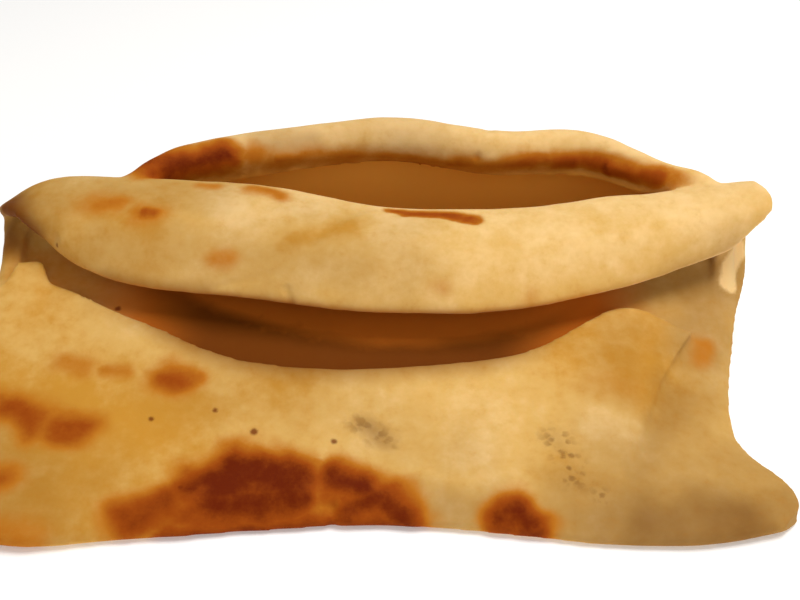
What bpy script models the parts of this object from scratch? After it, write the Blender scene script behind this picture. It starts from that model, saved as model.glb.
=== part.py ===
"""Pita bread, folded into a loose open pocket and resting on its base.

The bread is one soft sheet. Its front ply slopes up from a fold on the table
to a crest and turns over into a thick drooping lip. A flap from the same fold
lies on the front ply. The back ply stands up behind, and its rim rolls forward
over the mouth. The plies are lofted through a few guide lines and fused.

Lengths are millimetres: x runs left to right, y front to back and z up.
"""

import bmesh
import bpy
import numpy as np

MM = 0.001
NAME = "bread"

# Thickness of each ply, and the heights of the base and of the fold above it at
# mid thickness. The base dips below z = 0 and is cut flat there.
PLY = 4.4
BACK_PLY = 4.2
FLAP = 4.2
BASE_HEIGHT = 1.7
FOLD_HEIGHT = 6.8

# The lip: how far its free edge tucks in and its outer face bulges.
LIP_TUCK = 7.0
LIP_BULGE = 6.5

# How far the right end swells past its guide lines: the lip's tip, and the side
# and the lobe below it.
TIP_REACH = 8.5
SIDE_SWELL = 3.0

# The rim: the reach and drop of its forward roll, and the back's belly.
RIM_REACH = 8.5
RIM_DROP = 16.0
BACK_BELLY = 5.0

# The flap: its lift off the front ply from its free top edge down to where it
# sinks in, over its breadth and at its right edge, and how far across the ply
# that edge lies at the guide rows.
FLAP_LIFT = (5.6, 3.8, 3.2, 1.8, 0.3)
FLAP_EDGE_LIFT = (5.0, 2.6, 1.7, 0.9, 0.0)
FLAP_RIGHT = (0.877, 0.80, 0.742, 0.70)

# A torn tab that stands up from the flap's top edge near its left end: where it
# is, and its rise.
TAB_X = -130.5
TAB_RISE = (0, 8, 4)

# Guide lines of the front ply, nine stations each from left to right: the
# lip's lower edge, the crest, the shelf where the flap ends, the lower front,
# the toe above the fold, and the fold itself (in plan).
LIP = [(-125, 20, 47), (-108, 3, 44), (-84, -6, 41.5), (-46, -9, 39), (0, -14, 36.5),
       (46, -12.5, 36), (84, -3, 38), (113, 9, 40.5), (132, 18, 42.5)]
CREST = [(-145, 35, 51), (-122, 39, 61.4), (-87, 35, 63), (-46, 33, 61.8), (0, 22.5, 58.8),
         (46, 21.6, 57.8), (90, 28, 59.8), (127, 34, 61.4), (142, 32.5, 64)]
SHELF = [(-144, 7, 29.5), (-120, 8, 28.3), (-86, -10, 25.5), (-44, -26.5, 18.5),
         (4, -27.5, 17.5), (53, -19, 18), (89, 0, 23.5), (114, -9, 20.5), (132, -2, 18.5)]
FRONT = [(-144, -40, 14), (-117, -42, 15), (-84, -49, 13), (-43, -54, 11.5), (2, -55, 11),
         (50, -53, 11), (82, -50, 12.5), (106, -45, 11.5), (124, -46, 7)]
TOE = [(-143, -70, 8.3), (-116, -78, 8.5), (-82, -77, 8.5), (-42, -73, 8), (0, -71, 8),
       (48, -75, 8), (78, -79, 8.3), (112, -78, 7.6), (138, -72, 5.4)]
NOSE = [(-136, -91), (-112, -94.3), (-80, -89.2), (-42, -84.5), (0, -81),
        (46, -86), (76, -91.5), (108, -93), (132, -88)]

# Guide lines of the back ply, thirteen stations each from left to right:
# its line on the table and its top line. The roll fades out at the corners.
TABLE = [(-138, -38), (-140, 0), (-133, 33), (-110, 57), (-77, 76), (-37, 89), (8, 93),
         (48, 90), (83, 81), (110, 62), (125, 37), (124, 4), (116, -36)]
TOP = [(-140, -36, 14.5), (-140, 6, 29), (-138, 36, 44), (-98, 39, 60), (-78, 58, 65),
       (-44, 68.5, 67), (4, 76.5, 68.5), (45, 66.5, 67.5), (80, 67, 67), (107, 50, 63.8),
       (129, 35, 57), (132, 14, 26), (120, -35, 10.5)]
ROLL = (0, 0, 0, 0.4, 1.0, 1.0, 1.0, 1.0, 1.0, 0.8, 0.2, 0, 0)

# Mesh density: faces across the bread and between two guide rows, the voxels
# and smoothing that round the fused plies, and the triangles that are kept.
ACROSS = 40
FRONT_STEPS = 2
BACK_STEPS = 2
FLAP_STEPS = 3
VOXEL = 1.6
SMOOTHING = 3
TRIANGLES = 8600

CRUST = (0.66, 0.42, 0.17, 1.0)
CRUST_ROUGHNESS = 0.75


def spline(points, t):
    """Points at the parameters t on a Catmull-Rom curve through the given points."""
    points = np.asarray(points, float)
    ends = 2 * points[:1] - points[1:2], 2 * points[-1:] - points[-2:-1]
    padded = np.concatenate([ends[0], points, ends[1]])
    i = np.clip(np.floor(t).astype(int), 0, len(points) - 2)
    f = (t - i).reshape((-1,) + (1,) * (points.ndim - 1))
    a, b, c, d = (padded[i + k] for k in range(4))
    return 0.5 * (2 * b + (c - a) * f + (2 * a - 5 * b + 4 * c - d) * f ** 2
                  + (3 * b - a - 3 * c + d) * f ** 3)


def line(points, u):
    """A guide line sampled at the fractions u of its length in stations."""
    return spline(points, np.asarray(u) * (len(points) - 1))


def at_height(points, z):
    """Plan points lifted to one height."""
    return np.column_stack([np.asarray(points, float)[:, :2], np.broadcast_to(z, len(points))])


def shifted(points, y, z):
    """Points moved by y and z, each a length or one length for every point."""
    y, z = (np.broadcast_to(move, len(points)) for move in (y, z))
    return points + np.column_stack([np.zeros(len(points)), y, z])


def drawn_in(points, other, share):
    """Points whose x is moved by a share of the way to another line's x."""
    moved = points.copy()
    moved[:, 0] += share * (other[:, 0] - points[:, 0])
    return moved


def fade(distance, near, far):
    """1 up to the near distance and 0 from the far one on, with a smooth change."""
    share = np.clip((far - distance) / (far - near), 0, 1)
    return share * share * (3 - 2 * share)


def front_rows(u):
    """The front ply's rows: the lip's free edge, over the crest, down and under."""
    lip, crest, shelf, front, toe = (line(guide, u) for guide in (LIP, CREST, SHELF, FRONT, TOE))
    nose = at_height(line(NOSE, u), 0)
    table = at_height(line(TABLE, u), BASE_HEIGHT)
    half = PLY / 2
    tip = np.clip(8 * u - 7, 0, 1) ** 2
    belly = shifted((lip + crest) / 2, -0.55 * LIP_BULGE, 0.83 * LIP_BULGE)
    belly[:, 0] += TIP_REACH * tip
    wall = crest[:, 2] - shelf[:, 2]
    inner = drawn_in(shifted(crest, 4, -0.29 * wall), shelf, 0.05)
    upper = drawn_in(shifted(crest, -1, -0.55 * wall), shelf, 0.1)
    waist = shifted(0.4 * shelf + 0.6 * upper, 4, -3)
    above = at_height(0.6 * nose + 0.4 * toe, FOLD_HEIGHT - 1.5 * tip)
    below = at_height(0.5 * nose + 0.5 * toe, BASE_HEIGHT)
    for row in (waist, above, below):
        row[:, 0] += SIDE_SWELL * tip
    return np.array([shifted(lip, LIP_TUCK, half), shifted(lip, half * 0.8, half * 0.8), belly,
                     shifted(crest, -0.5, -half), inner, upper, waist, shelf, front, toe,
                     above, shifted(at_height(nose, (above[:, 2] + BASE_HEIGHT) / 2), half, 0),
                     below, at_height(0.55 * nose + 0.45 * table, BASE_HEIGHT),
                     table])


def back_rows(u):
    """The back ply's rows: from the base, up the back and over the rolled rim."""
    table, top = at_height(line(TABLE, u), 0), line(TOP, u)
    roll = line(np.array(ROLL)[:, None], u)
    middle = np.array([0, -10, 0])
    outward = (table - middle) / np.linalg.norm(table - middle, axis=1)[:, None]
    low = np.minimum(1, top[:, 2:] / 20) * [0, 0, 1]
    belly = outward * BACK_BELLY * top[:, 2:] / 68
    lower = 0.72 * table + 0.28 * top + belly * 0.8
    upper = 0.3 * table + 0.7 * top + belly
    over = roll * [0, -RIM_REACH, -0.45 * RIM_DROP] - (1 - roll) * outward * 3
    under = roll * [0, -0.7 * RIM_REACH, -RIM_DROP] - (1 - roll) * outward * 6
    crown = np.array([0, -BACK_PLY * 0.4, -BACK_PLY * 0.4])
    return np.array([table - outward * 9 + low * 2.6, table - outward * 2 + low * 3.4,
                     lower, upper, top + crown * roll, top + over, top + under])


def sheet(name, points, thickness):
    """A solid ply: a grid laid over a net of points, thickened to both sides."""
    rows, columns = points.shape[:2]
    bpy.ops.mesh.primitive_grid_add(x_subdivisions=columns - 1, y_subdivisions=rows - 1)
    ply = bpy.context.object
    ply.name = name
    ply.data.vertices.foreach_set("co", (points * MM).ravel())
    solid = ply.modifiers.new("Thickness", "SOLIDIFY")
    solid.thickness = thickness * MM
    solid.offset = 0
    return ply


def front_ply():
    """The lip, the front and the base in one sheet."""
    rows = front_rows(np.linspace(0, 1, ACROSS + 1))
    v = np.linspace(0, len(rows) - 1, FRONT_STEPS * (len(rows) - 1) + 1)
    return sheet(NAME, spline(rows, v), PLY)


def back_ply():
    """The standing back with its rolled rim."""
    rows = back_rows(np.linspace(0, 1, ACROSS + 1))
    v = np.linspace(0, len(rows) - 1, BACK_STEPS * (len(rows) - 1) + 1)
    return sheet("back", spline(rows, v), BACK_PLY)


def flap_ply():
    """The flap on the front ply, from its free top edge down into the fold."""
    shelf_row, nose_row = 7, 10
    v = np.linspace(shelf_row, nose_row, FLAP_STEPS * (nose_row - shelf_row) + 1)
    down = (v - shelf_row) / (nose_row - shelf_row)
    right = spline(np.array(FLAP_RIGHT)[:, None], down * (len(FLAP_RIGHT) - 1))[:, 0]
    net = []
    for row, fraction, end in zip(v, down, right):
        u = np.linspace(0.012, end, ACROSS)
        here = spline(front_rows(u), np.array([row - 0.05, row, row + 0.05]))
        along = np.gradient(here[1], axis=0)
        normal = np.cross(here[0] - here[2], along)
        normal *= np.where(normal[:, 2:] < 0, -1, 1) / np.linalg.norm(normal, axis=1)[:, None]
        guide = np.linspace(0, 1, len(FLAP_LIFT))
        lift, edge_lift = (np.interp(fraction, guide, part) for part in (FLAP_LIFT, FLAP_EDGE_LIFT))
        at_edge = fade(end - u, 0.01, 0.14)[:, None]
        tab = fade(np.abs(here[1][:, :1] - TAB_X), 4, 9) * fade(fraction, 0, 0.2)
        net.append(here[1] + normal * (lift + (edge_lift - lift) * at_edge) + tab * TAB_RISE)
    return sheet("flap", np.array(net), FLAP)


def crust():
    """The baked surface, golden and matt."""
    material = bpy.data.materials.new("Crust")
    material.use_nodes = True
    shader = material.node_tree.nodes["Principled BSDF"]
    shader.inputs["Base Color"].default_value = CRUST
    shader.inputs["Roughness"].default_value = CRUST_ROUGHNESS
    shader.inputs["Metallic"].default_value = 0.0
    return material


def apply_modifiers(item):
    """Replaces the object's mesh by its evaluated one."""
    graph = bpy.context.evaluated_depsgraph_get()
    item.data = bpy.data.meshes.new_from_object(item.evaluated_get(graph))
    item.modifiers.clear()


def collection(name):
    """A new collection in the scene."""
    made = bpy.data.collections.new(name)
    bpy.context.scene.collection.children.link(made)
    return made


def move_to(item, group):
    """Puts an object in one collection only."""
    for other in item.users_collection:
        other.objects.unlink(item)
    group.objects.link(item)


def fuse(body, others):
    """Joins the other solids to the body and removes them."""
    group = collection("Fused")
    for other in others:
        move_to(other, group)
    union = body.modifiers.new("Union", "BOOLEAN")
    union.operation = "UNION"
    union.operand_type = "COLLECTION"
    union.collection = group
    union.solver = "MANIFOLD"
    apply_modifiers(body)
    for other in others:
        bpy.data.objects.remove(other)
    bpy.data.collections.remove(group)


def soften(body):
    """Rounds the plies' edges and joints, and thins the mesh out."""
    remesh = body.modifiers.new("Remesh", "REMESH")
    remesh.mode = "VOXEL"
    remesh.voxel_size = VOXEL * MM
    smooth = body.modifiers.new("Smooth", "SMOOTH")
    smooth.iterations = SMOOTHING
    apply_modifiers(body)
    triangles = sum(len(face.vertices) - 2 for face in body.data.polygons)
    thin = body.modifiers.new("Thin out", "DECIMATE")
    thin.ratio = TRIANGLES / triangles
    apply_modifiers(body)


def keep_outer_shell(body):
    """Removes every shell but the largest: hollows that fusing sealed, and scraps."""
    mesh = bmesh.new()
    mesh.from_mesh(body.data)
    left = set(mesh.verts)
    shells = []
    while left:
        front = [left.pop()]
        shell = set(front)
        while front:
            found = {edge.other_vert(vert) for vert in front for edge in vert.link_edges}
            front = list(found - shell)
            shell.update(front)
        left -= shell
        shells.append(shell)
    largest = max(shells, key=len)
    bmesh.ops.delete(mesh, geom=[vert for vert in mesh.verts if vert not in largest])
    mesh.to_mesh(body.data)
    mesh.free()


def cut_base(body, cutters):
    """Cuts the underside to a flat face at z = 0."""
    bpy.ops.mesh.primitive_cube_add(size=1, location=(0, 0, -0.05))
    floor = bpy.context.object
    floor.name = "Floor cutter"
    floor.scale = (0.5, 0.5, 0.1)
    floor.hide_render = True
    floor.display_type = "WIRE"
    move_to(floor, cutters)
    cut = body.modifiers.new("Flat base", "BOOLEAN")
    cut.operation = "DIFFERENCE"
    cut.object = floor
    cut.solver = "MANIFOLD"
    bpy.context.view_layer.update()
    apply_modifiers(body)


def main():
    for item in list(bpy.data.objects):
        bpy.data.objects.remove(item)
    parts = collection("Pita bread")
    cutters = collection("Cutters")
    bread = front_ply()
    move_to(bread, parts)
    fuse(bread, [back_ply(), flap_ply()])
    soften(bread)
    cut_base(bread, cutters)
    keep_outer_shell(bread)
    bread.data.materials.clear()
    bread.data.materials.append(crust())
    bread.data.shade_smooth()


main()
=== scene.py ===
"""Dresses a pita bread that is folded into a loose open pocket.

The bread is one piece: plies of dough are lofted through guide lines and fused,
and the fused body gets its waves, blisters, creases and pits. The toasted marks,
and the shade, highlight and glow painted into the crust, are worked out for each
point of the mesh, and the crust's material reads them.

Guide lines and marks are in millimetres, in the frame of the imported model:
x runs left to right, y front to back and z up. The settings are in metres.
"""

import math

import bmesh
import bpy
import numpy as np
from bpy.props import FloatProperty, FloatVectorProperty, IntProperty, PointerProperty
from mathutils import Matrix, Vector, noise


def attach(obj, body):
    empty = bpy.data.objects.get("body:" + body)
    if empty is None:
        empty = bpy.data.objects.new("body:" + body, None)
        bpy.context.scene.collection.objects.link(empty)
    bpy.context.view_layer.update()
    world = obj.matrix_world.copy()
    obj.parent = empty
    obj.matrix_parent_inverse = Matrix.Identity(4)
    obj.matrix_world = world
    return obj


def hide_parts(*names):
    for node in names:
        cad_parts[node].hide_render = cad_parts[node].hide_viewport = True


bl_info = {
    "name": "Pita Bread",
    "version": (1, 0, 0),
    "blender": (4, 5, 0),
    "location": "View3D > Sidebar > Pita",
    "description": "Models a folded pita bread with its toasted crust, and a studio for it",
    "category": "Object",
}

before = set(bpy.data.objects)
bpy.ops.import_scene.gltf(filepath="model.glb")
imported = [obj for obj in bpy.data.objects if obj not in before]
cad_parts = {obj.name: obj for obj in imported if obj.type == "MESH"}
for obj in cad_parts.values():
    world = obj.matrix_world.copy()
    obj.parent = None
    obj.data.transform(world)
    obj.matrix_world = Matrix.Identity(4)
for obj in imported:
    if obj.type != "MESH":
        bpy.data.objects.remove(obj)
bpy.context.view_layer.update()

NODE = "bread"
MM = 0.001

# Heights of the base and of the fold above it, at mid thickness.
BASE_HEIGHT = 1.7
FOLD_HEIGHT = 6.8

# The flap: its lift off the front ply from its free top edge down to where it
# sinks in, over its breadth and at its right edge, and how far across the ply
# that edge lies at the guide rows.
FLAP_LIFT = (5.6, 3.8, 3.2, 1.8, 0.3)
FLAP_EDGE_LIFT = (5.0, 2.6, 1.7, 0.9, 0.0)
FLAP_RIGHT = (0.877, 0.80, 0.742, 0.70)

# Where the flap starts at the left and how far from its right edge the lift
# changes, as shares of the breadth.
FLAP_LEFT = 0.012
FLAP_EDGE_BAND = (0.01, 0.14)

# A torn tab that stands up from the flap's top edge near its left end: where it
# is, how far to each side it is full and ends, how far down the flap it starts,
# and its rise.
TAB_X = -130.5
TAB_BAND = (4, 9)
TAB_START = 0.2
TAB_RISE = (0, 8, 4)

# Guide lines of the front ply, nine stations each from left to right: the
# lip's lower edge, the crest, the shelf where the flap ends, the lower front,
# the toe above the fold, and the fold itself (in plan).
LIP = [(-125, 20, 47), (-108, 3, 44), (-84, -6, 41.5), (-46, -9, 39), (0, -14, 36.5),
       (46, -12.5, 36), (84, -3, 38), (113, 9, 40.5), (132, 18, 42.5)]
CREST = [(-145, 35, 51), (-122, 39, 61.4), (-87, 35, 63), (-46, 33, 61.8), (0, 22.5, 58.8),
         (46, 21.6, 57.8), (90, 28, 59.8), (127, 34, 61.4), (142, 32.5, 64)]
SHELF = [(-144, 7, 29.5), (-120, 8, 28.3), (-86, -10, 25.5), (-44, -26.5, 18.5),
         (4, -27.5, 17.5), (53, -19, 18), (89, 0, 23.5), (114, -9, 20.5), (132, -2, 18.5)]
FRONT = [(-144, -40, 14), (-117, -42, 15), (-84, -49, 13), (-43, -54, 11.5), (2, -55, 11),
         (50, -53, 11), (82, -50, 12.5), (106, -45, 11.5), (124, -46, 5.6)]
TOE = [(-143, -70, 8.3), (-116, -78, 8.5), (-82, -77, 8.5), (-42, -73, 8), (0, -71, 8),
       (48, -75, 8), (78, -79, 8.3), (112, -78, 7.6), (138, -72, 5.4)]
NOSE = [(-136, -91), (-112, -94.3), (-80, -89.2), (-42, -84.5), (0, -81),
        (46, -86), (76, -91.5), (108, -93), (132, -88)]

# Guide lines of the back ply, thirteen stations each from left to right:
# its line on the table and its top line. The roll fades out at the corners.
TABLE = [(-138, -38), (-140, 0), (-133, 33), (-110, 57), (-77, 76), (-37, 89), (8, 93),
         (48, 90), (83, 81), (110, 62), (125, 37), (124, 4), (116, -36)]
TOP = [(-140, -36, 14.5), (-140, 6, 29), (-138, 36, 44), (-98, 39, 60), (-78, 58, 65),
       (-44, 68.5, 67), (4, 76.5, 68.5), (45, 66.5, 67.5), (80, 67, 67), (107, 50, 63.8),
       (129, 35, 57), (132, 14, 26), (120, -35, 10.5)]
ROLL = (0, 0, 0, 0.4, 1.0, 1.0, 1.0, 1.0, 1.0, 0.8, 0.2, 0, 0)

# The point that the back bulges away from, and the height at which it bulges
# in full.
BACK_CENTRE = (0, -10, 0)
BACK_HEIGHT = 68

# Faces across the bread and between two guide rows.
ACROSS = 120
FRONT_STEPS = 6
BACK_STEPS = 8
FLAP_STEPS = 14

# Rounds of smoothing that the fused mesh gets, and the lengths of its waves and
# dimples.
SMOOTHING = 12
WAVE_LENGTH = 30
DIMPLE_LENGTH = 9

# Toasted marks, each a point or a line of points, a radius and how dark it is
# baked: first those of the rim, the lip, the flap, the fold and the right side,
# then those of the underside, the back and the ends.
TOASTED = [
    ([(-88, 44, 60), (-74, 50.5, 61.5), (-60, 55, 61.5)], 7.5, 0.98),
    ([(-50, 57, 60)], 7.0, 0.46),
    ([(-43, 58.4, 58), (-20, 63.8, 55), (8, 67, 52), (28, 61, 55), (55, 56, 57.5),
      (71, 57, 56), (86, 53.8, 57), (100, 45.4, 59.4), (112, 39, 60)], 6.4, 0.39),
    ([(-40, 59, 59.5), (-20, 63.8, 57.5), (8, 67, 55), (28, 61, 57)], 3.2, 0.46),
    ([(28, 61, 57), (55, 56, 59.6), (71, 57, 58.7)], 3.6, 0.6),
    ([(69, 57, 58.5), (84, 54, 58.5), (97, 47, 59.5)], 5.2, 0.72),
    ([(76, 56.5, 58.5)], 4.2, 0.86),
    ([(89, 52, 58)], 4.4, 0.9),
    ([(91, 50.6, 58.6), (100, 46, 59.2), (107, 42, 59.6)], 4.4, 0.82),
    ([(-106, 20, 61.4), (-99, 19, 61.4)], 7.5, 0.3),
    ([(-103, 18, 61.3), (-96, 19.5, 61.4)], 5.0, 0.42),
    ([(-86, 14.4, 60.6), (-80, 13.9, 60.5)], 6.0, 0.36),
    ([(-83.5, 14.4, 60.6), (-80.5, 13.9, 60.5)], 3.8, 0.68),
    ([(-58, -0.5, 51), (-54, -1, 51)], 4.6, 0.34),
    ([(-66.8, 31, 62.4), (-61, 29.9, 62.2)], 3.0, 0.36),
    ([(-48, 29.3, 61.7), (-40, 27.5, 61.2), (-35.8, 25.4, 60.9)], 4.0, 0.42),
    ([(22.2, -10.2, 44.9)], 4.5, 0.2),
    ([(54, -10, 40)], 5.0, 0.2),
    ([(-74, -35, 24), (-68, -36.5, 23.9)], 6.6, 0.7),
    ([(-62, -35.5, 24)], 4.0, 0.5),
    ([(-110.9, -28, 25), (-102.3, -30.7, 24.6)], 5.0, 0.32),
    ([(-95, -32.6, 24.3), (-86.8, -33.5, 24.5)], 3.4, 0.36),
    ([(-126, -46.5, 19.3), (-116, -52, 18.6)], 8.6, 0.7),
    ([(-107, -55, 18), (-98, -56, 17.6)], 7.4, 0.68),
    ([(-121, -74.6, 13.5)], 6.5, 0.6),
    ([(-124, -93, 4.6), (-111, -94, 4.6)], 8.0, 0.4),
    ([(-80, -88.5, 6), (-72, -86, 8), (-62, -82.5, 9.2)], 8.2, 0.78),
    ([(-57, -78, 10), (-46, -73, 12), (-36, -71.5, 12.6), (-26, -76, 11)], 11.0, 1.05),
    ([(-62, -84, 6), (-40, -80, 9), (-24, -80, 8)], 9.0, 1.0),
    ([(-66, -89, 2), (-40, -86, 1), (-16, -84, 1), (12, -84, 1)], 6.0, 0.85),
    ([(-22, -76, 11), (-13, -79, 9)], 8.0, 0.62),
    ([(-13, -73, 12), (-4, -76.6, 10)], 7.6, 1.05),
    ([(-8, -82, 4), (3, -79, 8), (12, -83.5, 4)], 7.2, 0.95),
    ([(40, -86, 3), (45, -83.5, 7), (51, -87, 3)], 7.0, 0.98),
    ([(117, -18, 19.6), (118.5, -13, 20.8)], 5.6, 0.34),
    ([(75, -36, 21.7), (87, -35, 21.7)], 9.0, 0.12),
    ([(-58, -18, 0), (-40, -8, 0)], 13.0, 0.75),
    ([(38, 34, 0)], 11.0, 0.6),
    ([(88, -50, 0), (100, -42, 0)], 9.0, 0.8),
    ([(-96, -54, 0)], 9.0, 0.6),
    ([(-6, 62, 0), (10, 66, 0)], 9.0, 0.5),
    ([(-68, 85, 30), (-60, 87, 37), (-52, 88, 35)], 7.0, 0.7),
    ([(12, 95, 22), (24, 94, 30), (40, 91, 27)], 8.0, 0.85),
    ([(70, 84, 44)], 7.0, 0.6),
    ([(-22, 90, 52), (-12, 89, 50)], 7.0, 0.75),
    ([(104, 70, 26)], 7.0, 0.6),
    ([(124, 42, 40)], 5.0, 0.5),
    ([(-126, 48, 32)], 7.0, 0.6),
    ([(-144, 13, 20)], 4.6, 0.6),
    ([(-144, 2, 14), (-144, -6, 11)], 4.2, 0.7),
]

# The peeled strip on top of the lip, where a thin skin has lifted.
PEELED = [([(3, 20.6, 58.6), (12, 19.4, 58.3)], 2.6, 0.85),
          ([(10, 19.2, 58.3), (21, 17.8, 58.1)], 3.6, 0.9),
          ([(20, 17.8, 58.1), (28, 16.6, 58.1), (34.5, 14.6, 58)], 4.2, 0.96)]

# Places that are more golden or, where the amount is negative, paler. The first,
# at the lip's left end, is painted shade where the light falls off to the left.
GOLDEN_AND_SHADE = [
    ([(-130, 25, 55), (-88, 14, 60)], 28, 0.5),
    ([(-40, 0, 52), (-10, 6, 57)], 14, 0.22),
    ([(-29, 4.2, 56.3), (-20.8, 6.3, 57.1), (-12, 8.7, 57.8)], 6, 0.55),
    ([(40, 0, 52), (140, 25, 56)], 42, -0.42),
    ([(70, -16, 24), (92, -18, 24), (91, -32, 21)], 19, 0.44),
    ([(-60, 62, 68), (20, 72, 70), (100, 55, 66)], 12, -0.1),
    ([(-125, -45, 18), (-88, -58, 16), (-104, -78, 12)], 32, 0.5),
    ([(-62, -44, 20), (-36, -40, 20)], 22, 0.22),
    ([(5, -62, 13), (30, -60, 13)], 24, -0.16),
    ([(80, -54, 16), (77, -62, 15)], 11, -0.25),
    ([(42, -40, 16)], 18, -0.08),
    ([(66, -70, 13)], 14, 0.2),
]

# Dull tan places: partly the dough's own duller tone, where it is thin or has dried,
# and partly painted shade where the light falls off: at the lip's left end and the
# rim's left part, along the flap's right edge, and over the lower right side and its lobe.
DULL_AND_SHADE = [
    ([(-138, 31, 55), (-122, 22, 60)], 18, 0.4),
    ([(-118, 30, 61.5), (-62, 24, 61.5)], 18, 0.34),
    ([(-100, 4, 52), (-52, -2, 52), (-6, -4, 52)], 18, 0.3),
    ([(-30, 16, 60), (10, 8, 59)], 14, 0.2),
    ([(4, 2, 55), (10, -6, 52)], 16, 0.24),
    ([(132, 14, 30), (120.5, 7.7, 26.7), (118, -14, 20.4)], 20, 0.6),
    ([(96, 14, 30), (112, 10, 28)], 12, 0.4),
    ([(88, -91, 5), (106, -90, 5.5), (118, -89, 5)], 22, 0.88),
    ([(118, -86, 6), (136, -84, 5)], 22, 0.62),
    ([(134, -66, 8), (100, -70, 11), (84, -72, 11)], 28, 0.42),
    ([(122, -8, 20), (112, -40, 14), (96, -62, 13)], 20, 0.4),
    ([(74, -89, 6), (96, -88, 7), (112, -88, 6)], 26, 0.7),
    ([(105, -36, 15.6), (94, -58, 13), (86, -73, 12)], 13, 0.54),
    ([(88, -14, 24), (84, -40, 20)], 16, 0.3),
    ([(-60, -36, 22), (-20, -40, 19)], 20, 0.18),
    ([(-8, -46, 18), (10, -62, 14)], 16, 0.16),
    ([(-118, -70, 14), (-98, -80, 12)], 20, 0.25),
    ([(-130, -70, 14), (-115, -80, 11), (-112, -92, 6)], 26, 0.36),
    ([(14, -84, 6), (34, -84, 6)], 12, 0.5),
    ([(16, -83.5, 5)], 6, 0.8),
    ([(28, -64, 14)], 16, 0.2),
    ([(117.6, -15.4, 20)], 9, 0.75),
    ([(-70, 58, 67), (-20, 68, 70), (20, 72, 70)], 14, 0.2),
    ([(-46, 59, 65), (-28, 64, 66)], 9, 0.45),
    ([(40, 66, 69), (70, 66, 69), (100, 54, 66)], 12, 0.06),
    ([(-4.9, -53, 17.6), (2, -58, 16.1)], 5.0, 0.6),
    ([(60, -57, 16.3), (63.6, -66.7, 14.2)], 5.5, 0.3),
]

# A painted highlight on the front ply's edge at the right under the lip, where the
# edge turns and catches the light.
PALE_HIGHLIGHT = [([(137, 26, 37), (134.5, 20, 34), (133.5, 15, 30.5)], 4.6, 1.0)]

# Painted shade in the folds at the left end and along the lip's edge there.
SHADED = [
    ([(-140, 29, 55), (-134, 21, 53), (-130, 17, 49)], 9.0, 0.95),
    ([(-128, 19, 57)], 3.4, 0.4),
    ([(-144, 30, 46), (-142, 26, 41)], 8.0, 0.8),
    ([(-138, 28, 42)], 7.0, 0.5),
    ([(-96, -2, 43), (-80, -7.5, 41.5), (-62, -9, 41)], 5.0, 0.3),
]

# Where the crust is pitted, and how many pits there are in a millimetre.
PITS_PER_MM = 0.34
PITTED = [
    ([(60, -57.9, 16.1), (63.6, -66.7, 14.2), (64.7, -72.6, 12.9)], 5.0, 1.0),
    ([(73, -79.7, 11.3)], 3.0, 0.9),
    ([(-6, -53, 17.6), (2, -58, 16.1)], 4.0, 0.7),
]

# Creases: a line of points, a radius and a depth.
CREASES = [
    ([(43, 66, 68.5), (40, 61, 63), (38, 57, 60)], 2.6, 1.0),
    ([(-31, -11, 39), (-32.5, -9, 43)], 2.4, 0.9),
    ([(-14, -86, -2), (-14, -80, 6)], 3.0, 1.8),
    ([(-24, 2, 55), (-12, 14, 59.5), (-4, 21, 60)], 3.0, 0.5),
    ([(-58, -8, 43), (-36, -4, 47)], 2.6, 0.4),
    ([(-124, 12, 46), (-118, 10, 52)], 3.0, 0.9),
]

# The back ply's inner wall, where the crumb shows with a painted glow of light
# through the thin dough: bands in which it fades out towards the front, to both
# sides and up to the rim.
CRUMB_FRONT = (-40, -34)
CRUMB_SIDES = (100, 125)
CRUMB_TOP = (50, 60)

# The painted shade in the hollow under the lip: bands in which it fades out to the
# back, past the lip's edge and over the flap's edge, and at its right and left end.
# Its left part is lighter, and the tab in it stays clear.
HOLLOW_BACK = (24, 32)
HOLLOW_TOP = (-3, 3)
HOLLOW_FRONT = (-1.5, 2)
HOLLOW_RIGHT = (78, 106)
HOLLOW_LEFT = (130, 146)
HOLLOW_LIGHT = (-115, -80)
HOLLOW_CLEAR = ([(-130, 8, 37), (-130, 15, 39)], (5, 8))

# Sizes of the crust's clouds, mottles and grains.
CLOUD_SIZE = 22
MOTTLE_SIZE = 5
GRAIN_SIZE = 1.1

# The studio, in metres: the points that the camera and the lights aim at, each
# light's place and size, and the floor's size. The sensor is in millimetres.
VIEW_TARGET = (0.008, 0.003, 0.030)
LIGHT_TARGET = (0, -0.02, 0.03)
KEY_LIGHT = ((0.28, 0.02, 1.08), 0.6)
FRONT_LIGHT = ((0.25, -0.9, 0.42), 0.8)
FLOOR_SIZE = 6
SENSOR_WIDTH = 36

# Dark specks: place and radius.
SPECKS = [((-95.6, -2, 29.5), 1.0), ((-41.2, -55.8, 16.9), 1.2), ((-14.1, -59.6, 15.8), 0.9),
          ((-76.5, -50.9, 18.4), 0.8), ((-55.1, -47.5, 19.6), 0.8), ((-63, -78, 11.9), 0.8),
          ((-117.2, 10.2, 49.5), 0.7)]


def linear(red, green, blue):
    """A display colour, 0 to 255 a channel, as the linear colour that shaders use."""
    levels = (channel / 255 for channel in (red, green, blue))
    return tuple(v / 12.92 if v <= 0.04045 else ((v + 0.055) / 1.055) ** 2.4 for v in levels)


def length(name, description, millimetres):
    """A length setting whose default is given in millimetres."""
    return FloatProperty(name=name, description=description, default=millimetres * MM,
                         min=0.0, unit="LENGTH")


def colour(name, description, red, green, blue):
    """A colour setting whose default is given as a display colour."""
    return FloatVectorProperty(name=name, description=description, subtype="COLOR", size=3,
                               min=0.0, max=1.0, default=linear(red, green, blue))


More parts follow.
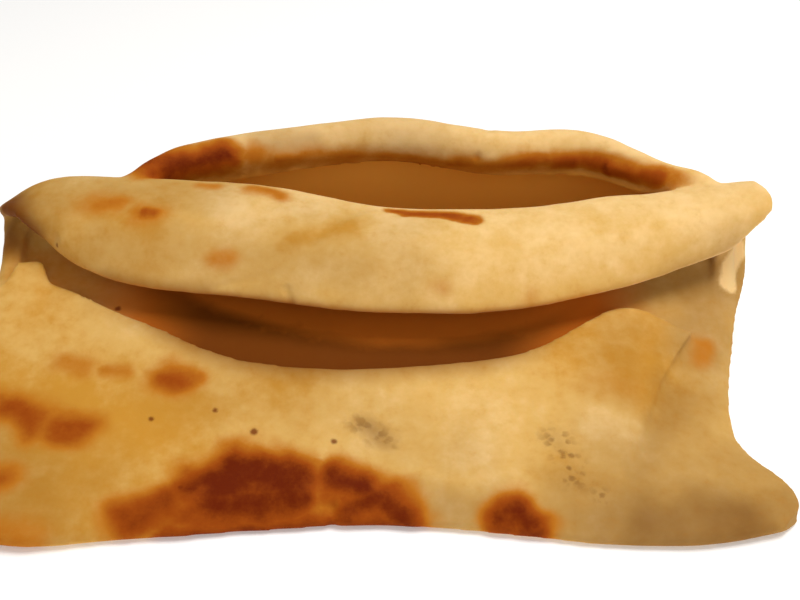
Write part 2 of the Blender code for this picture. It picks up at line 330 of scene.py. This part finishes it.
class PitaShape(bpy.types.PropertyGroup):
    """Sizes of the bread."""

    ply: length("Front ply", "Thickness of the front ply", 4.4)
    back_ply: length("Back ply", "Thickness of the back ply", 4.2)
    flap: length("Flap", "Thickness of the flap", 4.2)
    lip_tuck: length("Lip tuck", "How far the lip's free edge tucks in", 7.0)
    lip_bulge: length("Lip bulge", "How far the lip's outer face bulges", 6.5)
    tip_reach: length("Tip reach", "How far the lip's right tip swells past the crest", 8.5)
    side_swell: length("Side swell", "How far the right side and its lobe swell", 3.0)
    rim_reach: length("Rim reach", "How far the rim rolls forward", 8.5)
    rim_drop: length("Rim drop", "How far the rolled rim hangs down", 16.0)
    back_belly: length("Back belly", "How far the back bulges", 5.0)
    waves: length("Waves", "Height of the broad waves in the dough", 0.7)
    dimples: length("Dimples", "Height of the small dimples in the dough", 0.22)
    blisters: length("Blisters", "Height of the toasted blisters", 0.8)
    peel: length("Peel", "Depth of the peeled strip", 0.5)
    voxel: length("Voxel", "Fineness of the fused mesh", 1.15)
    triangles: IntProperty(name="Triangles", description="Triangles that the finished bread keeps",
                           default=190000, min=20000, max=199000)


class PitaCrust(bpy.types.PropertyGroup):
    """Colours of the crust, and of the painted shade, highlight and glow on it."""

    # Pale is also the colour of the painted highlight on the front ply's right edge.
    pale: colour("Pale", "Palest dough, on the lip's right half", 236, 198, 136)
    cream: colour("Cream", "Common colour of the dough", 217, 172, 96)
    gold: colour("Gold", "Most golden dough", 199, 141, 50)
    # Dull is also the colour of painted shade at the lip's left end, along the flap's right edge
    # and on the lower right side.
    dull: colour("Dull", "Dried thin dough", 130, 88, 40)
    orange: colour("Orange", "Lightly toasted dough", 186, 114, 28)
    brown: colour("Brown", "Toasted dough", 156, 72, 10)
    dark: colour("Dark", "Darkest toasted dough", 104, 32, 2)
    # Painted shade: the colour that the wall of the hollow under the lip is painted with.
    hollow: colour("Hollow", "Dough on the wall of the hollow under the lip", 214, 116, 32)
    # Painted shade: the colour of the hollow's floor, the flap's brink and the left end's folds.
    shade: colour("Shade", "Dough on the hollow's floor and in the left end's folds", 112, 56, 8)
    # Crumb colour with a painted glow of light shining through the thin back ply.
    crumb_glow: colour("Crumb", "Warm crumb on the pocket's inner wall", 255, 190, 82)
    roughness: FloatProperty(name="Roughness", description="Roughness of the crust",
                             default=0.7, min=0.0, max=1.0)


class PitaStudio(bpy.types.PropertyGroup):
    """Camera, light and floor."""

    elevation: FloatProperty(name="Elevation", description="Angle of the view above the floor",
                             default=math.radians(35), subtype="ANGLE")
    distance: length("Distance", "From the camera to the middle of the bread", 450)
    lens: FloatProperty(name="Lens", description="Focal length in millimetres", default=54.675)
    key_power: FloatProperty(name="Key light", description="Power of the key light in watts",
                             default=9.0, min=0.0)
    front_power: FloatProperty(name="Front light", default=2.8, min=0.0,
                               description="Power of the weak light in front in watts")
    fill: FloatProperty(name="Fill", description="Strength of the light from all round",
                        default=0.36, min=0.0)
    floor: colour("Floor", "Colour of the floor", 246, 245, 243)
    floor_glow: FloatProperty(name="Floor glow", description="Light that the floor gives off",
                              default=0.18, min=0.0)


def spline(points, t):
    """Points at the parameters t on a Catmull-Rom curve through the given points."""
    points = np.asarray(points, float)
    ends = 2 * points[:1] - points[1:2], 2 * points[-1:] - points[-2:-1]
    padded = np.concatenate([ends[0], points, ends[1]])
    i = np.clip(np.floor(t).astype(int), 0, len(points) - 2)
    f = (t - i).reshape((-1,) + (1,) * (points.ndim - 1))
    a, b, c, d = (padded[i + k] for k in range(4))
    return 0.5 * (2 * b + (c - a) * f + (2 * a - 5 * b + 4 * c - d) * f ** 2
                  + (3 * b - a - 3 * c + d) * f ** 3)


def line(points, u):
    """A guide line sampled at the fractions u of its length in stations."""
    return spline(points, np.asarray(u) * (len(points) - 1))


def at_height(points, z):
    """Plan points lifted to one height."""
    return np.column_stack([np.asarray(points, float)[:, :2], np.broadcast_to(z, len(points))])


def shifted(points, y, z):
    """Points moved by y and z, each a length or one length for every point."""
    y, z = (np.broadcast_to(move, len(points)) for move in (y, z))
    return points + np.column_stack([np.zeros(len(points)), y, z])


def drawn_in(points, other, share):
    """Points whose x is moved by a share of the way to another line's x."""
    moved = points.copy()
    moved[:, 0] += share * (other[:, 0] - points[:, 0])
    return moved


def front_rows(shape, u):
    """The front ply's rows: the lip's free edge, over the crest, down and under."""
    lip, crest, shelf, front, toe = (line(guide, u) for guide in (LIP, CREST, SHELF, FRONT, TOE))
    nose = at_height(line(NOSE, u), 0)
    table = at_height(line(TABLE, u), BASE_HEIGHT)
    half = shape.ply / MM / 2
    bulge = shape.lip_bulge / MM
    tip = np.clip(8 * u - 7, 0, 1) ** 2
    belly = shifted((lip + crest) / 2, -0.55 * bulge, 0.83 * bulge)
    belly[:, 0] += shape.tip_reach / MM * tip
    wall = crest[:, 2] - shelf[:, 2]
    inner = drawn_in(shifted(crest, 4, -0.29 * wall), shelf, 0.05)
    upper = drawn_in(shifted(crest, -1, -0.55 * wall), shelf, 0.1)
    waist = shifted(0.4 * shelf + 0.6 * upper, 4, -3)
    above = at_height(0.6 * nose + 0.4 * toe, FOLD_HEIGHT - 1.5 * tip)
    below = at_height(0.5 * nose + 0.5 * toe, BASE_HEIGHT)
    for row in (waist, above, below):
        row[:, 0] += shape.side_swell / MM * tip
    return np.array([shifted(lip, shape.lip_tuck / MM, half), shifted(lip, half * 0.8, half * 0.8),
                     belly, shifted(crest, -0.5, -half), inner, upper, waist, shelf, front, toe,
                     above, shifted(at_height(nose, (above[:, 2] + BASE_HEIGHT) / 2), half, 0),
                     below, at_height(0.55 * nose + 0.45 * table, BASE_HEIGHT),
                     table])


def back_rows(shape, u):
    """The back ply's rows: from the base, up the back and over the rolled rim."""
    table, top = at_height(line(TABLE, u), 0), line(TOP, u)
    roll = line(np.array(ROLL)[:, None], u)
    outward = table - BACK_CENTRE
    outward /= np.linalg.norm(outward, axis=1)[:, None]
    low = np.minimum(1, top[:, 2:] / 20) * [0, 0, 1]
    belly = outward * shape.back_belly / MM * top[:, 2:] / BACK_HEIGHT
    reach, drop = shape.rim_reach / MM, shape.rim_drop / MM
    lower = 0.72 * table + 0.28 * top + belly * 0.8
    upper = 0.3 * table + 0.7 * top + belly
    over = roll * [0, -reach, -0.45 * drop] - (1 - roll) * outward * 3
    under = roll * [0, -0.7 * reach, -drop] - (1 - roll) * outward * 6
    crown = np.array([0, -0.4, -0.4]) * shape.back_ply / MM
    return np.array([table - outward * 9 + low * 2.6, table - outward * 2 + low * 3.4,
                     lower, upper, top + crown * roll, top + over, top + under])


def flap_rows(shape):
    """The flap's rows, a little off the front ply, from its top edge into the fold."""
    shelf_row, nose_row = 7, 10
    beside = 0.05
    v = np.linspace(shelf_row, nose_row, FLAP_STEPS * (nose_row - shelf_row) + 1)
    down = (v - shelf_row) / (nose_row - shelf_row)
    right = spline(np.array(FLAP_RIGHT)[:, None], down * (len(FLAP_RIGHT) - 1))[:, 0]
    rows = []
    for row, fraction, end in zip(v, down, right):
        u = np.linspace(FLAP_LEFT, end, ACROSS)
        here = spline(front_rows(shape, u), np.array([row - beside, row, row + beside]))
        along = np.gradient(here[1], axis=0)
        normal = np.cross(here[0] - here[2], along)
        normal *= np.where(normal[:, 2:] < 0, -1, 1) / np.linalg.norm(normal, axis=1)[:, None]
        guide = np.linspace(0, 1, len(FLAP_LIFT))
        lift, edge_lift = (np.interp(fraction, guide, part) for part in (FLAP_LIFT, FLAP_EDGE_LIFT))
        at_edge = fade(end - u, *FLAP_EDGE_BAND)[:, None]
        tab = fade(np.abs(here[1][:, :1] - TAB_X), *TAB_BAND) * fade(fraction, 0, TAB_START)
        rows.append(here[1] + normal * (lift + (edge_lift - lift) * at_edge) + tab * TAB_RISE)
    return np.array(rows)


def lofted(rows, steps):
    """Rows refined by a number of steps between each two."""
    return spline(rows, np.linspace(0, len(rows) - 1, steps * (len(rows) - 1) + 1))


def apply_modifiers(item):
    """Applies an object's modifiers in order."""
    bpy.context.view_layer.objects.active = item
    for modifier in list(item.modifiers):
        bpy.ops.object.modifier_apply(modifier=modifier.name)


def ply(name, points, thickness):
    """A solid ply: a grid laid over a net of points, thickened to both sides."""
    rows, columns = points.shape[:2]
    bpy.ops.object.select_all(action="DESELECT")
    bpy.ops.mesh.primitive_grid_add(x_subdivisions=columns - 1, y_subdivisions=rows - 1)
    item = bpy.context.object
    item.name = name
    item.data.vertices.foreach_set("co", (points * MM).ravel())
    solid = item.modifiers.new("Thickness", "SOLIDIFY")
    solid.thickness = thickness
    solid.offset = 0
    apply_modifiers(item)
    return item


def fuse(body, others):
    """Joins the other plies to the body and removes them."""
    group = bpy.data.collections.new("Fused")
    bpy.context.scene.collection.children.link(group)
    for other in others:
        group.objects.link(other)
    union = body.modifiers.new("Union", "BOOLEAN")
    union.operation = "UNION"
    union.operand_type = "COLLECTION"
    union.collection = group
    union.solver = "MANIFOLD"
    apply_modifiers(body)
    for other in others:
        bpy.data.objects.remove(other)
    bpy.data.collections.remove(group)


def soften(body, voxel):
    """Rounds the plies' edges and joints in one even mesh."""
    remesh = body.modifiers.new("Remesh", "REMESH")
    remesh.mode = "VOXEL"
    remesh.voxel_size = voxel
    smooth = body.modifiers.new("Smooth", "SMOOTH")
    smooth.iterations = SMOOTHING
    apply_modifiers(body)


def keep_outer_shell(body):
    """Removes every shell but the largest: hollows that fusing sealed, and scraps."""
    mesh = bmesh.new()
    mesh.from_mesh(body.data)
    left = set(mesh.verts)
    shells = []
    while left:
        front = [left.pop()]
        shell = set(front)
        while front:
            found = {edge.other_vert(vert) for vert in front for edge in vert.link_edges}
            front = list(found - shell)
            shell.update(front)
        left -= shell
        shells.append(shell)
    largest = max(shells, key=len)
    bmesh.ops.delete(mesh, geom=[vert for vert in mesh.verts if vert not in largest])
    mesh.to_mesh(body.data)
    mesh.free()


def read_points(mesh, name):
    """A mesh's vertex places or normals as an array of rows."""
    values = np.empty(len(mesh.vertices) * 3)
    mesh.vertices.foreach_get(name, values)
    return values.reshape(-1, 3)


def ripples(places, wavelength, offset):
    """Smooth noise from -1 to 1 at each place."""
    shift = Vector((offset, -offset, 2 * offset))
    return np.array([noise.noise(Vector(place) + shift) for place in places / wavelength])


def distance_to(places, points):
    """Distance of each place to the nearest point of a line."""
    points = np.asarray(points, float)
    if len(points) == 1:
        return np.linalg.norm(places - points[0], axis=1)
    nearest = np.full(len(places), np.inf)
    for start, end in zip(points[:-1], points[1:]):
        way = end - start
        share = np.clip((places - start) @ way / (way @ way), 0, 1)
        away = np.linalg.norm(places - start - share[:, None] * way, axis=1)
        nearest = np.minimum(nearest, away)
    return nearest


def fade(distance, near, far):
    """1 up to the near distance and 0 from the far one on, with a smooth change."""
    share = np.clip((far - distance) / (far - near), 0, 1)
    return share * share * (3 - 2 * share)


def smeared(places, normals, marks, near=0.0, far=1.7):
    """Each mark's strength at each place on its side of the ply.

    Broad and fine noise moves the places a little, so that outlines are uneven.
    """
    warp = np.column_stack([ripples(places, 13, k) for k in (3, 7, 11)]) * 0.45
    warp += np.column_stack([ripples(places, 5, k) for k in (4, 8, 12)]) * 0.18
    for points, radius, strength in marks:
        middle = points[len(points) // 2]
        nearest = np.argmin(np.linalg.norm(places - middle, axis=1))
        same_side = fade(-(normals @ normals[nearest]), 0.0, 0.5)
        spread = distance_to(places + warp * min(radius, 10), points) / radius
        yield strength * fade(spread, near, far) * same_side


def strongest(places, normals, marks, **reach):
    """The strongest mark at each place."""
    return np.max(list(smeared(places, normals, marks, **reach)), axis=0)


def hollowed(places):
    """Where the hollow under the lip gets painted shade, and how brown the painted shade on its
    floor and on the flap's brink is.
    """
    shelf = line(SHELF, np.linspace(0, 1, 100))
    lip = line(LIP, np.linspace(0, 1, 100))
    behind = places[:, 1] - np.interp(places[:, 0], shelf[:, 0], shelf[:, 1])
    behind += ripples(places, 9, 6) * 0.8
    below = np.interp(places[:, 0], lip[:, 0], lip[:, 2]) - places[:, 2]
    under_lip = fade(places[:, 1], *HOLLOW_BACK) * fade(-below, *HOLLOW_TOP)
    hollow = under_lip * fade(-behind, *HOLLOW_FRONT)
    hollow *= 1 - 0.68 * fade(places[:, 0], *HOLLOW_LIGHT)
    hollow *= fade(places[:, 0], *HOLLOW_RIGHT) * fade(-places[:, 0], *HOLLOW_LEFT)
    clear, band = HOLLOW_CLEAR
    hollow *= 1 - fade(distance_to(places, clear), *band)
    # The painted shade on the floor reaches further back at the left than at the right.
    reach = 14 + 10 * fade(places[:, 0], -50, 10)
    floor = np.maximum(fade(behind - reach, -5, 5), 0.3) * fade(np.abs(places[:, 0] + 10), 50, 94)
    # The painted shade on the flap's brink spreads over a broader band than the hollow's own edge.
    brink = under_lip * fade(-behind, -1.5, 12)
    brink *= fade(np.abs(places[:, 0] + 16), 56, 96) * 0.8
    return hollow, np.maximum(hollow * floor, (1 - hollow) * brink)


def relief(body, shape):
    """Gives the fused body its waves, dimples, blisters and creases, and a flat base."""
    mesh = body.data
    places = read_points(mesh, "co") / MM
    normals = read_points(mesh, "normal")
    height = ripples(places, WAVE_LENGTH, 0) * shape.waves / MM
    height += ripples(places, DIMPLE_LENGTH, 5) * shape.dimples / MM
    for points, radius, strength in TOASTED:
        height += shape.blisters / MM * strength * fade(distance_to(places, points) / radius, 0, 1)
    for points, radius, depth in CREASES:
        height -= depth * fade(distance_to(places, points) / radius, 0, 1)
    height -= shape.peel / MM * strongest(places, normals, PEELED, near=0.8, far=1.0)
    # The relief fades out down to the table, so that the base stays flat.
    above = fade(-places[:, 2], -4, 0)
    places += normals * (height * above)[:, None]
    places[:, 2] = np.maximum(places[:, 2], 0)
    mesh.vertices.foreach_set("co", (places * MM).ravel())
    mesh.update()


def paint_marks(body):
    """Keeps on the mesh how strongly each kind of mark shows at each point."""
    places = read_points(body.data, "co") / MM
    normals = read_points(body.data, "normal")
    # Golden tone; at the lip's left end it is partly painted shade.
    golden = 0.25 + 0.27 * fade(places[:, 2], 30, 58)
    golden += np.sum(list(smeared(places, normals, GOLDEN_AND_SHADE, far=1.6)), axis=0)
    paint(body, "golden", golden)
    paint(body, "toast", strongest(places, normals, TOASTED))
    paint(body, "peeled", strongest(places, normals, PEELED, near=0.2, far=1.3))
    # Dull tan, partly painted shade where the light falls off.
    paint(body, "dull", strongest(places, normals, DULL_AND_SHADE, far=1.6))
    # The painted highlight on the front ply's right edge.
    paint(body, "pale", strongest(places, normals, PALE_HIGHLIGHT, near=0.75, far=1.05))
    paint(body, "pitted", strongest(places, normals, PITTED))
    hollow, floor = hollowed(places)
    # Painted shade in the folds at the left end and along the lip's edge there.
    ends = np.max([strength * fade(distance_to(places, points) / radius, 0.2, 1.4)
                   for points, radius, strength in SHADED], axis=0)
    # Painted shade in the hollow under the lip.
    paint(body, "hollow", hollow)
    paint(body, "shaded", np.maximum(floor, ends))
    # The crumb on the pocket's inner wall, with its painted glow.
    within = fade(-places[:, 1], *CRUMB_FRONT) * fade(np.abs(places[:, 0]), *CRUMB_SIDES)
    within *= fade(places[:, 2], *CRUMB_TOP)
    paint(body, "crumb_glow", within * fade(normals[:, 1], -0.5, 0.0))


def thin_out(body, triangles):
    """Thins the mesh out to a number of triangles."""
    faces = sum(len(face.vertices) - 2 for face in body.data.polygons)
    thin = body.modifiers.new("Thin out", "DECIMATE")
    thin.ratio = min(1, triangles / faces)
    apply_modifiers(body)


def paint(body, name, values):
    """Keeps one value for each point of the mesh as an attribute."""
    layer = body.data.attributes.new(name, "FLOAT", "POINT")
    layer.data.foreach_set("value", values)


class Wire:
    """A shader socket that adds Math or Vector Math nodes when an expression uses it."""

    def __init__(self, graph, socket):
        self.graph = graph
        self.socket = socket

    def __add__(self, other):
        return self.graph.maths("ADD", self, other)

    def __sub__(self, other):
        return self.graph.maths("SUBTRACT", self, other)

    def __rsub__(self, other):
        return self.graph.maths("SUBTRACT", other, self)

    def __mul__(self, other):
        return self.graph.maths("MULTIPLY", self, other)

    __radd__ = __add__
    __rmul__ = __mul__


class Graph:
    """Adds nodes to a material and links them."""

    def __init__(self, material):
        material.use_nodes = True
        self.tree = material.node_tree
        self.shader = self.tree.nodes["Principled BSDF"]

    def node(self, kind, settings, inputs, output=0):
        """A node with its settings and its sockets' values or links."""
        made = self.tree.nodes.new("ShaderNode" + kind)
        for name, value in settings.items():
            setattr(made, name, value)
        self.fill(made, inputs)
        return Wire(self, made.outputs[output])

    def fill(self, node, inputs):
        """Links wires to a node's sockets, or sets the sockets' values."""
        for name, value in inputs.items():
            if isinstance(value, Wire):
                self.tree.links.new(value.socket, node.inputs[name])
            else:
                node.inputs[name].default_value = value

    def maths(self, operation, a, b):
        """Arithmetic on numbers, or on vectors where either side is one."""
        vectors = any(isinstance(side, Wire) and side.socket.type in ("VECTOR", "RGBA")
                      for side in (a, b))
        if vectors:
            a, b = (side if isinstance(side, (Wire, tuple)) else (side,) * 3 for side in (a, b))
            return self.node("VectorMath", {"operation": operation}, {0: a, 1: b})
        return self.node("Math", {"operation": operation}, {0: a, 1: b})

    def noise(self, place, size, detail):
        """Noise from 0 to 1 with features of a size in the place's unit."""
        return self.node("TexNoise", {}, {"Vector": place, "Scale": 1 / size, "Detail": detail,
                                          "Roughness": 0.6})

    def steps(self, value, low, high, start=0.0, end=1.0):
        """A value eased from start at the low level to end at the high one."""
        return self.node("MapRange", {"interpolation_type": "SMOOTHSTEP"},
                         {"Value": value, "From Min": low, "From Max": high,
                          "To Min": start, "To Max": end})

    def mix(self, factor, a, b):
        """A colour mixed from a to b."""
        a, b = (tint if isinstance(tint, Wire) else (*tint, 1.0) for tint in (a, b))
        return self.node("Mix", {"data_type": "RGBA"}, {0: factor, 6: a, 7: b}, 2)


def crust_material(crust):
    """Baked dough: mottled, golden and toasted where the marks are, with fine pores, and with
    painted shade, a painted highlight and a painted glow where those marks say.
    """
    material = bpy.data.materials.new("Crust")
    graph = Graph(material)
    place = graph.node("TexCoord", {}, {}, "Object") * (1 / MM)
    golden, toast, peeled, dull, pale, pitted, crumb_glow, hollow, shaded = (
        graph.node("Attribute", {"attribute_name": name}, {}, "Fac")
        for name in ("golden", "toast", "peeled", "dull", "pale", "pitted", "crumb_glow", "hollow",
                     "shaded"))
    clouds = graph.noise(place, CLOUD_SIZE, 4)
    mottle = graph.noise(place, MOTTLE_SIZE, 4)
    grain = graph.noise(place, GRAIN_SIZE, 3)

    # Golden tone; at the lip's left end it is partly painted shade.
    tone = golden + (clouds - 0.5) * 0.9 + (mottle - 0.5) * 0.5
    dough = graph.mix(graph.steps(tone, 0.0, 0.55), crust.pale, crust.cream)
    dough = graph.mix(graph.steps(tone, 0.45, 1.05), dough, crust.gold)
    # Dull tan, partly painted shade where the light falls off.
    dough = graph.mix(dull * (0.8 + clouds * 0.4), dough, crust.dull)
    # Painted highlight on the front ply's right edge.
    dough = graph.mix(pale, dough, crust.pale)
    freckles = graph.steps(mottle + (grain - 0.5) * 0.35, 0.56, 0.80, 0.0, 0.12)
    dough = graph.mix(freckles, dough, crust.orange)
    # Crumb colour with a painted glow on the pocket's inner wall.
    dough = graph.mix(crumb_glow, dough, crust.crumb_glow)
    # Painted shade on the wall of the hollow under the lip.
    dough = graph.mix(hollow, dough, crust.hollow)
    # Painted shade on the hollow's floor, the flap's brink and the left end's folds.
    dough = graph.mix(shaded, dough, crust.shade)

    level = toast * (0.66 + mottle * 0.4 + clouds * 0.28) + (grain - 0.5) * toast * 0.16
    level = level + peeled * (0.54 + mottle * 0.4)
    baked = graph.mix(graph.steps(level, 0.0, 0.42), dough, crust.orange)
    baked = graph.mix(graph.steps(level, 0.28, 0.70), baked, crust.brown)
    baked = graph.mix(graph.steps(level, 0.60, 1.05), baked, crust.dark)
    cells = graph.node("TexVoronoi", {}, {"Vector": place, "Scale": PITS_PER_MM}, "Distance")
    pits = graph.steps(cells - (mottle - 0.5) * 1.4, 0.2, 0.6, 1.0, 0.0) * pitted
    baked = graph.mix(pits * 0.75, baked, crust.dull)
    for centre, radius in SPECKS:
        away = graph.node("VectorMath", {"operation": "DISTANCE"}, {0: place, 1: centre}, "Value")
        speck = graph.steps(away + grain, radius, radius + 1.2, 0.8, 0.0)
        baked = graph.mix(speck, baked, crust.dark)

    height = grain * 0.3 + mottle * 0.5 - pits * 1.5
    bump = graph.node("Bump", {}, {"Strength": 0.3, "Distance": 0.5 * MM, "Height": height})
    graph.fill(graph.shader, {
        "Base Color": baked, "Normal": bump,
        "Roughness": crust.roughness + (mottle - 0.5) * 0.2, "Specular IOR Level": 0.05,
        "Subsurface Weight": 0.2, "Subsurface Radius": (1.0, 0.5, 0.2),
        "Subsurface Scale": 4 * MM})
    return material


class PITA_OT_add_bread(bpy.types.Operator):
    """Models the folded bread and gives it its crust"""

    bl_idname = "pita.add_bread"
    bl_label = "Add Bread"

    def execute(self, context):
        shape = context.scene.pita_shape
        u = np.linspace(0, 1, ACROSS + 1)
        bread = ply("bread_loaf", lofted(front_rows(shape, u), FRONT_STEPS), shape.ply)
        back = ply("back", lofted(back_rows(shape, u), BACK_STEPS), shape.back_ply)
        flap = ply("flap", flap_rows(shape), shape.flap)
        fuse(bread, [back, flap])
        soften(bread, shape.voxel)
        keep_outer_shell(bread)
        relief(bread, shape)
        thin_out(bread, shape.triangles)
        paint_marks(bread)
        bread.data.shade_smooth()
        bread.data.materials.clear()
        bread.data.materials.append(crust_material(context.scene.pita_crust))
        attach(bread, "root")
        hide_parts(NODE)
        return {"FINISHED"}


class PITA_OT_add_stage(bpy.types.Operator):
    """Adds the pale floor, the soft studio light and the camera"""

    bl_idname = "pita.add_stage"
    bl_label = "Add Stage"

    def execute(self, context):
        studio = context.scene.pita_studio
        self.add_floor(studio)
        self.add_light(studio)
        self.add_camera(context, studio)
        context.scene.view_settings.view_transform = "Standard"
        return {"FINISHED"}

    def add_floor(self, studio):
        """A wide plain floor under the bread."""
        bpy.ops.object.select_all(action="DESELECT")
        bpy.ops.mesh.primitive_plane_add(size=FLOOR_SIZE)
        floor = bpy.context.object
        floor.name = "floor"
        material = bpy.data.materials.new("Floor")
        graph = Graph(material)
        graph.fill(graph.shader, {
            "Base Color": (*studio.floor, 1.0), "Roughness": 0.9,
            "Emission Color": (1.0, 1.0, 1.0, 1.0), "Emission Strength": studio.floor_glow})
        floor.data.materials.append(material)

    def add_light(self, studio):
        """A soft key light above, a weak one in front, and an even fill."""
        self.add_lamp("key", *KEY_LIGHT, studio.key_power)
        self.add_lamp("front", *FRONT_LIGHT, studio.front_power)
        world = bpy.data.worlds.new("Studio")
        world.use_nodes = True
        background = world.node_tree.nodes["Background"]
        background.inputs["Color"].default_value = (1.0, 0.98, 0.95, 1.0)
        background.inputs["Strength"].default_value = studio.fill
        bpy.context.scene.world = world

    def add_lamp(self, name, location, size, power):
        """A square area light aimed at the bread."""
        bpy.ops.object.light_add(type="AREA", location=location)
        lamp = bpy.context.object
        lamp.name = name
        lamp.data.size = size
        lamp.data.energy = power
        way = Vector(LIGHT_TARGET) - lamp.location
        lamp.rotation_euler = way.to_track_quat("-Z", "Y").to_euler()

    def add_camera(self, context, studio):
        """A camera that looks down on the front of the bread."""
        away = Vector((0, -math.cos(studio.elevation), math.sin(studio.elevation)))
        bpy.ops.object.camera_add(location=Vector(VIEW_TARGET) + away * studio.distance,
                                  rotation=(math.pi / 2 - studio.elevation, 0, 0))
        camera = bpy.context.object
        camera.name = "camera"
        camera.data.lens = studio.lens
        camera.data.sensor_width = SENSOR_WIDTH
        camera.data.clip_start = 0.01
        context.scene.camera = camera


class PITA_PT_panel(bpy.types.Panel):
    """Lists the bread's settings and operators in the sidebar"""

    bl_idname = "PITA_PT_panel"
    bl_label = "Pita Bread"
    bl_space_type = "VIEW_3D"
    bl_region_type = "UI"
    bl_category = "Pita"

    def draw(self, context):
        for settings, operator in GROUPS:
            box = self.layout.box()
            for name in settings:
                group = getattr(context.scene, name)
                for setting in group.__annotations__:
                    box.prop(group, setting)
            box.operator(operator)


CLASSES = (PitaShape, PitaCrust, PitaStudio, PITA_OT_add_bread, PITA_OT_add_stage, PITA_PT_panel)
SETTINGS = {"pita_shape": PitaShape, "pita_crust": PitaCrust, "pita_studio": PitaStudio}
GROUPS = ((("pita_shape", "pita_crust"), "pita.add_bread"), (("pita_studio",), "pita.add_stage"))


def register():
    for item in CLASSES:
        bpy.utils.register_class(item)
    for name, group in SETTINGS.items():
        setattr(bpy.types.Scene, name, PointerProperty(type=group))


def unregister():
    for name in SETTINGS:
        delattr(bpy.types.Scene, name)
    for item in reversed(CLASSES):
        bpy.utils.unregister_class(item)


def main():
    register()
    bpy.ops.pita.add_bread()
    bpy.ops.pita.add_stage()


if __name__ == "__main__":
    main()
